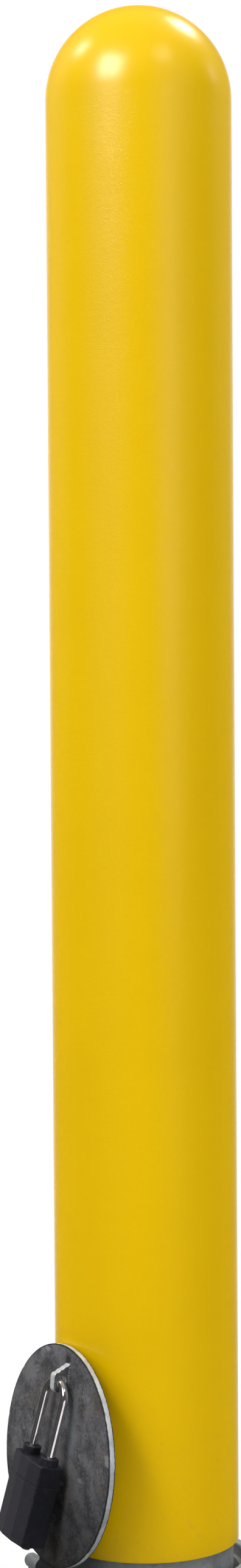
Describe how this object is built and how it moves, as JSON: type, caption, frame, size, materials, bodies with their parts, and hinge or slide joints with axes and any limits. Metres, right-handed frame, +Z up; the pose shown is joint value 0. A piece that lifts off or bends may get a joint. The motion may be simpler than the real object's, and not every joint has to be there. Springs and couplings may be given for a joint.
{
  "type": "retractable bollard",
  "caption": "Domed yellow sleeved steel post that slides down into a buried receiver, with a round hinged lid, locking lug and padlock.",
  "frame": {"origin": "on the post's axis at the receiver's rim, which is finished ground level", "axes": "+Z up along the post; the raised lid, its hinge and the padlock are on the -Y side"},
  "size_m": [0.2694, 0.2557, 2.2367],
  "materials": {
    "yellow_plastic": "safety yellow moulded polyethylene, fine leather grain on the straight part, satin",
    "galvanised_steel": "hot dip galvanised, dull grey spangle",
    "lid_steel": "weathered galvanised plate, dark mottled face and bright worn rim",
    "lug_steel": "bare flame-cut plate, bright at its worn edges",
    "polished_steel": "polished hardened steel",
    "black_plastic": "black moulded thermoplastic",
    "brass": "machined",
    "zinc_screw": "bright zinc plated",
    "black_enamel": "black enamelled tube",
    "guide_plastic": "natural white guide plastic",
    "buffer_rubber": "black moulded rubber"
  },
  "bodies": {
    "receiver": {"receiver_tube": "galvanised_steel", "base_plate": "galvanised_steel", "anchor_studs": "galvanised_steel", "upper_guide": "guide_plastic", "guide_screws": "zinc_screw", "stop_ring": "galvanised_steel", "bottom_buffer": "buffer_rubber", "spring_foot": "galvanised_steel", "gas_rod": "polished_steel", "gas_piston": "zinc_screw", "hinge_leaf": "galvanised_steel", "hinge_pin": "zinc_screw"},
    "post": {"post_tube": "galvanised_steel", "post_sleeve": "yellow_plastic", "post_cap": "galvanised_steel", "post_foot": "galvanised_steel", "lower_guide": "guide_plastic", "gas_cylinder": "black_enamel", "gas_gland": "zinc_screw", "spring_nut": "zinc_screw"},
    "lid": {"lid_plate": "lid_steel", "lid_knuckle": "lid_steel", "lock_lug": "lug_steel", "lug_welds": "lug_steel"},
    "shackle": {"shackle": "polished_steel"},
    "padlock_body": {"lock_cover": "black_plastic", "shackle_collars": "black_plastic", "lock_core": "brass", "locking_balls": "polished_steel", "shackle_spring": "polished_steel", "lock_base": "black_plastic", "cover_rivet": "zinc_screw"},
    "key_plug": {"key_plug": "brass", "lock_cam": "brass"},
    "keyway_cover": {"keyway_cover": "black_plastic"}
  },
  "joints": [
    {"name": "post_slide", "type": "slide", "parent": "receiver", "child": "post", "axis": [0, 0, -1], "range_m": [0, 1.02365]},
    {"name": "lid_hinge", "type": "hinge", "parent": "receiver", "child": "lid", "pos_m": [0.0072, -0.07623, 0.0024], "axis": [1, 0, 0], "range_deg": [0, 75]},
    {"name": "padlock_swing", "type": "hinge", "parent": "lid", "child": "shackle", "pos_m": [0.0144, -0.07329, 0.12885], "axis": [-1, 0, 0], "range_deg": [-1.5, 90]},
    {"name": "shackle_release", "type": "slide", "parent": "shackle", "child": "padlock_body", "axis": [-0.1076, -0.2241, -0.9686], "range_m": [0, 0.012]},
    {"name": "key_turn", "type": "hinge", "parent": "padlock_body", "child": "key_plug", "pos_m": [0.00343, -0.09616, 0.03005], "axis": [0.1076, 0.2241, 0.9686], "range_deg": [0, 90]},
    {"name": "keyway_cover_turn", "type": "hinge", "parent": "padlock_body", "child": "keyway_cover", "pos_m": [0.01333, -0.09721, 0.02507], "axis": [0.1076, 0.2241, 0.9686], "range_deg": [0, 100]}
  ]
}
